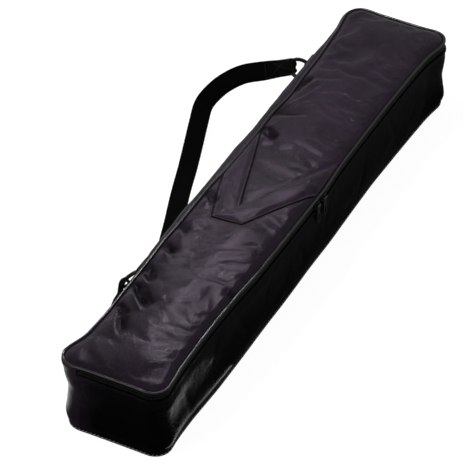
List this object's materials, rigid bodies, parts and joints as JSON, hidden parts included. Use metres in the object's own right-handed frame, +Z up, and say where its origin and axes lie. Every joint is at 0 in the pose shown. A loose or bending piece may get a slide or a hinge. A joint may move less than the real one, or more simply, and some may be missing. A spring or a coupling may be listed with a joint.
{
  "type": "telescope carry case",
  "caption": "Long padded soft carry case with a zipped lid hinged along one long side, welted edges, a V-shaped lid band and a webbing shoulder strap on D-rings.",
  "frame": {"origin": "on the floor under the middle of the base panel", "axes": "+Z up out of the lid, +Y along the case to its far end, +X to the zipped long side, with the lid's hinge and the strap on the -X side"},
  "size_m": [0.2669, 0.7596, 0.1038],
  "materials": {
    "top_fabric": "coated nylon, satin sheen",
    "side_fabric": "coated nylon, black",
    "welt_cord": "fabric-covered cord, black",
    "lining_cloth": "plain taffeta, black",
    "padding": "closed-cell foam",
    "stiffener": "polyethylene board",
    "zip_tape": "woven zipper tape, black",
    "zip_coil": "nylon coil, black",
    "black_metal": "black enamelled zinc",
    "webbing": "black polypropylene webbing"
  },
  "bodies": {
    "case": {"base_skin": "side_fabric", "gusset_zip_side": "side_fabric", "gusset_hinge_side": "side_fabric", "base_lining": "lining_cloth", "gusset_lining": "lining_cloth", "base_foam": "padding", "gusset_foam_right": "padding", "gusset_foam_left": "padding", "gusset_foam_far": "padding", "gusset_foam_near": "padding", "base_board": "stiffener", "base_welt": "welt_cord", "zip_tape_case": "zip_tape", "zip_coil_case": "zip_coil", "zip_stops": "zip_coil", "ring_tab_far": "webbing", "ring_tab_near": "webbing"},
    "lid": {"lid_skin": "top_fabric", "chevron_band": "top_fabric", "lid_welt": "welt_cord", "lid_lining": "lining_cloth", "lid_foam": "padding", "zip_tape_lid": "zip_tape", "zip_coil_lid": "zip_coil"},
    "near_slider": {"slider_near": "black_metal"},
    "far_slider": {"slider_far": "black_metal"},
    "near_pull": {"pull_tab_near": "black_metal"},
    "far_pull": {"pull_tab_far": "black_metal"},
    "carry_strap": {"strap": "webbing", "d_ring_far": "black_metal", "d_ring_near": "black_metal"}
  },
  "joints": [
    {"name": "lid_hinge", "type": "hinge", "parent": "case", "child": "lid", "pos_m": [-0.0675, 0, 0.1], "axis": [0, -1, 0], "range_deg": [0, 100]},
    {"name": "strap_swing", "type": "hinge", "parent": "case", "child": "carry_strap", "pos_m": [-0.075, 0, 0.074], "axis": [0, 1, 0], "range_deg": [0, 55]},
    {"name": "near_slider_travel", "type": "slide", "parent": "case", "child": "near_slider", "axis": [0, -1, 0], "range_m": [0, 0.355]},
    {"name": "far_slider_travel", "type": "slide", "parent": "case", "child": "far_slider", "axis": [0, 1, 0], "range_m": [0, 0.31]},
    {"name": "near_pull_flip", "type": "hinge", "parent": "near_slider", "child": "near_pull", "pos_m": [0.0691, 0.014, 0.095], "axis": [0, -1, 0], "range_deg": [0, 150]},
    {"name": "far_pull_flip", "type": "hinge", "parent": "far_slider", "child": "far_pull", "pos_m": [0.0691, 0.031, 0.095], "axis": [0, -1, 0], "range_deg": [0, 150]}
  ]
}
